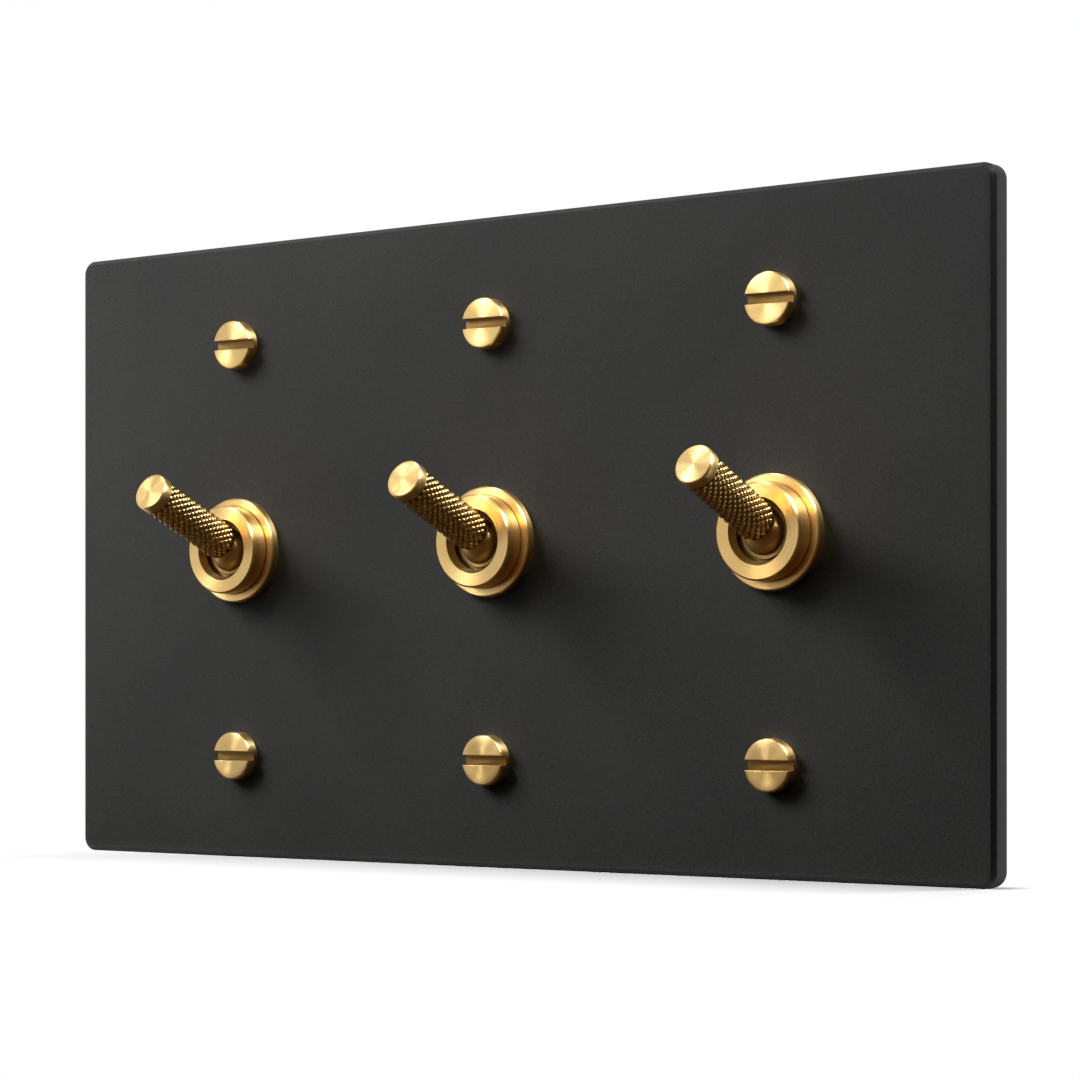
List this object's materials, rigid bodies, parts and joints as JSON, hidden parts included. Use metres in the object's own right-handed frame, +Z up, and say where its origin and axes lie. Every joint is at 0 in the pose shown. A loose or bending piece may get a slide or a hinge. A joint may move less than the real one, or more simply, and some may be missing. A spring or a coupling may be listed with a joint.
{
  "type": "toggle light switch",
  "caption": "Flat dark metal wall plate with knurled brass toggle levers in stepped round collars, slotted brass screws, and a two-way rocker switch behind each lever.",
  "frame": {"origin": "centre of the face plate's back, in the wall plane", "axes": "+X to the right along the row of toggles, +Y into the wall, +Z up"},
  "size_m": [0.156, 0.0465, 0.09],
  "materials": {
    "plate_finish": "fine matte powder coat",
    "satin_brass": "satin, turned",
    "terminal_brass": "bare rolled strip",
    "contact_silver": "bare silver alloy",
    "zinc_steel": "zinc plated",
    "spring_steel": "bare wire",
    "case_moulding": "moulded thermoset",
    "nylon": "natural nylon",
    "earth_green": "green dyed zinc"
  },
  "bodies": {
    "base": {"face_plate": "plate_finish", "plate_screws": "satin_brass", "fixed_contacts": "contact_silver", "terminal_screws": "terminal_brass", "case_rivets": "zinc_steel", "earth_screws": "earth_green", "pivot_pin_left": "zinc_steel", "collar_ring_left": "satin_brass", "collar_flange_left": "satin_brass", "bushing_left": "satin_brass", "strap_left": "zinc_steel", "switch_case_left": "case_moulding", "common_terminal_left": "terminal_brass", "upper_terminal_left": "terminal_brass", "lower_terminal_left": "terminal_brass", "pivot_pin_middle": "zinc_steel", "collar_ring_middle": "satin_brass", "collar_flange_middle": "satin_brass", "bushing_middle": "satin_brass", "strap_middle": "zinc_steel", "switch_case_middle": "case_moulding", "common_terminal_middle": "terminal_brass", "upper_terminal_middle": "terminal_brass", "lower_terminal_middle": "terminal_brass", "pivot_pin_right": "zinc_steel", "collar_ring_right": "satin_brass", "collar_flange_right": "satin_brass", "bushing_right": "satin_brass", "strap_right": "zinc_steel", "switch_case_right": "case_moulding", "common_terminal_right": "terminal_brass", "upper_terminal_right": "terminal_brass", "lower_terminal_right": "terminal_brass"},
    "lever_left": {"lever_grip_left": "satin_brass", "lever_stem_left": "satin_brass", "plunger_left": "nylon", "plunger_spring_left": "spring_steel"},
    "rocker_left": {"rocker_left": "terminal_brass"},
    "lever_middle": {"lever_grip_middle": "satin_brass", "lever_stem_middle": "satin_brass", "plunger_middle": "nylon", "plunger_spring_middle": "spring_steel"},
    "rocker_middle": {"rocker_middle": "terminal_brass"},
    "lever_right": {"lever_grip_right": "satin_brass", "lever_stem_right": "satin_brass", "plunger_right": "nylon", "plunger_spring_right": "spring_steel"},
    "rocker_right": {"rocker_right": "terminal_brass"}
  },
  "joints": [
    {"name": "lever_left_throw", "type": "hinge", "parent": "base", "child": "lever_left", "pos_m": [-0.04604, -0.0049, 0], "axis": [1, 0, 0], "range_deg": [0, 48]},
    {"name": "rocker_left_tip", "type": "hinge", "parent": "base", "child": "rocker_left", "pos_m": [-0.04604, 0.00843, 0], "axis": [1, 0, 0], "range_deg": [-20, 0]},
    {"name": "lever_middle_throw", "type": "hinge", "parent": "base", "child": "lever_middle", "pos_m": [0, -0.0049, 0], "axis": [1, 0, 0], "range_deg": [0, 48]},
    {"name": "rocker_middle_tip", "type": "hinge", "parent": "base", "child": "rocker_middle", "pos_m": [0, 0.00843, 0], "axis": [1, 0, 0], "range_deg": [-20, 0]},
    {"name": "lever_right_throw", "type": "hinge", "parent": "base", "child": "lever_right", "pos_m": [0.04604, -0.0049, 0], "axis": [1, 0, 0], "range_deg": [0, 48]},
    {"name": "rocker_right_tip", "type": "hinge", "parent": "base", "child": "rocker_right", "pos_m": [0.04604, 0.00843, 0], "axis": [1, 0, 0], "range_deg": [-20, 0]}
  ],
  "couplings": [
    {"joint": "rocker_left_tip", "follows": "lever_left_throw", "ratio": -0.41667},
    {"joint": "rocker_middle_tip", "follows": "lever_middle_throw", "ratio": -0.41667},
    {"joint": "rocker_right_tip", "follows": "lever_right_throw", "ratio": -0.41667}
  ]
}
